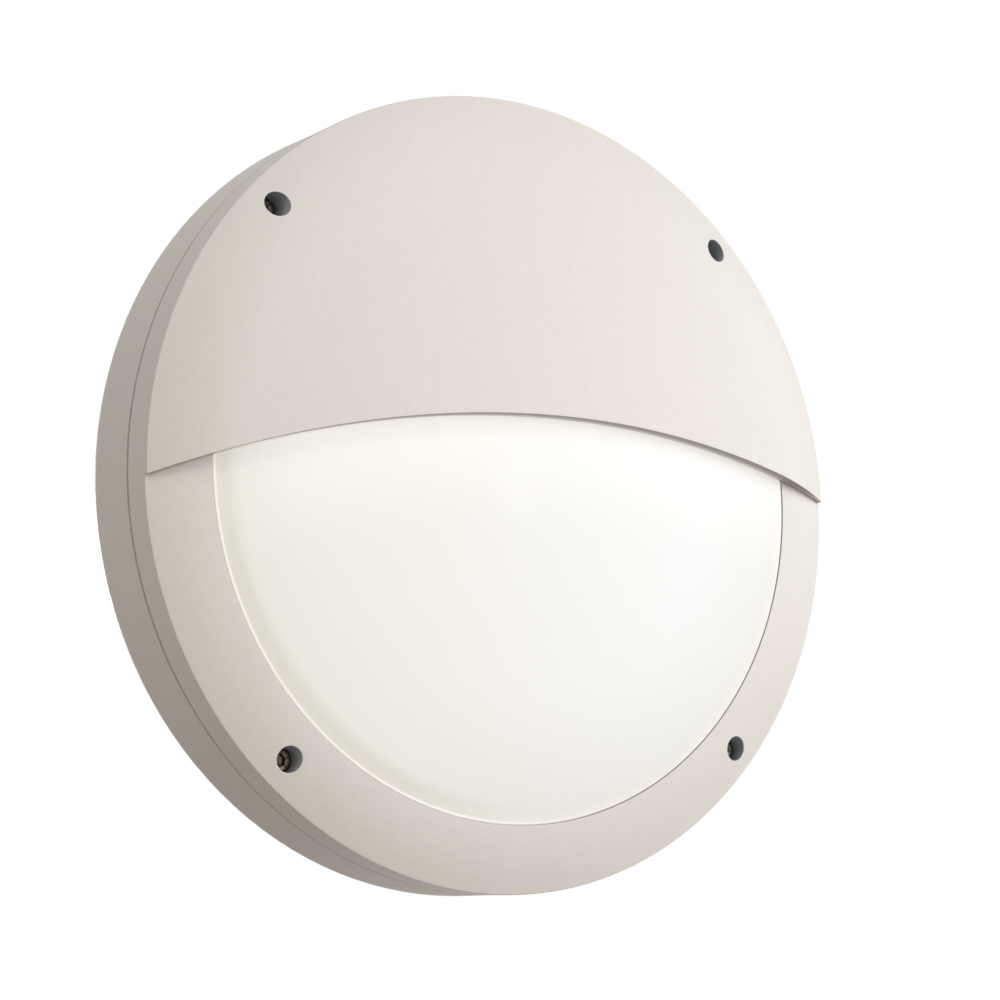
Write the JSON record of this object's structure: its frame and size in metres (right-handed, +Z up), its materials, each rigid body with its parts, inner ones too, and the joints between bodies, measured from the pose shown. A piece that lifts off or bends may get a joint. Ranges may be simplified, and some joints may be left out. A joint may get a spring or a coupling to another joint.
{
  "type": "bulkhead light",
  "caption": "Round wall light with a shallow cast housing, a domed front ring with an eyelid hood over the upper half, and an opal lens below it.",
  "frame": {"origin": "centre of the flat back face, on the wall plane", "axes": "+Y into the wall, the front faces -Y; +Z up, with the eyelid above the lens; +X right as seen from the front"},
  "size_m": [0.301, 0.0609, 0.301],
  "materials": {
    "coated_casting": "fine matt powder coat",
    "opal_lens": "opal, softly lit",
    "seal_rubber": "matt",
    "stainless_steel": "turned",
    "white_sheet": "white enamel",
    "zinc_steel": "zinc plated",
    "white_board": "white solder mask",
    "phosphor": "yellow phosphor",
    "white_moulding": "moulded",
    "tinned_copper": "tinned",
    "brass": "turned",
    "brown_insulation": "satin",
    "blue_insulation": "satin",
    "green_insulation": "satin",
    "red_insulation": "satin",
    "black_insulation": "satin"
  },
  "bodies": {
    "root": {"rear_housing": "coated_casting", "front_casing": "coated_casting", "diffuser": "opal_lens", "housing_gasket": "seal_rubber", "cover_screws": "stainless_steel", "gear_tray": "white_sheet", "tray_screws": "zinc_steel", "led_board": "white_board", "leds": "phosphor", "led_board_screws": "zinc_steel", "board_connector": "white_moulding", "led_driver": "white_moulding", "driver_screws": "zinc_steel", "terminal_block": "white_moulding", "terminal_clamp_screws": "zinc_steel", "terminal_fixing_screws": "zinc_steel", "cable_grommet": "seal_rubber", "earth_lug": "tinned_copper", "earth_washer": "zinc_steel", "earth_screw": "brass", "wire_live": "brown_insulation", "wire_neutral": "blue_insulation", "wire_earth": "green_insulation", "wire_led_positive": "red_insulation", "wire_led_negative": "black_insulation"}
  },
  "joints": []
}
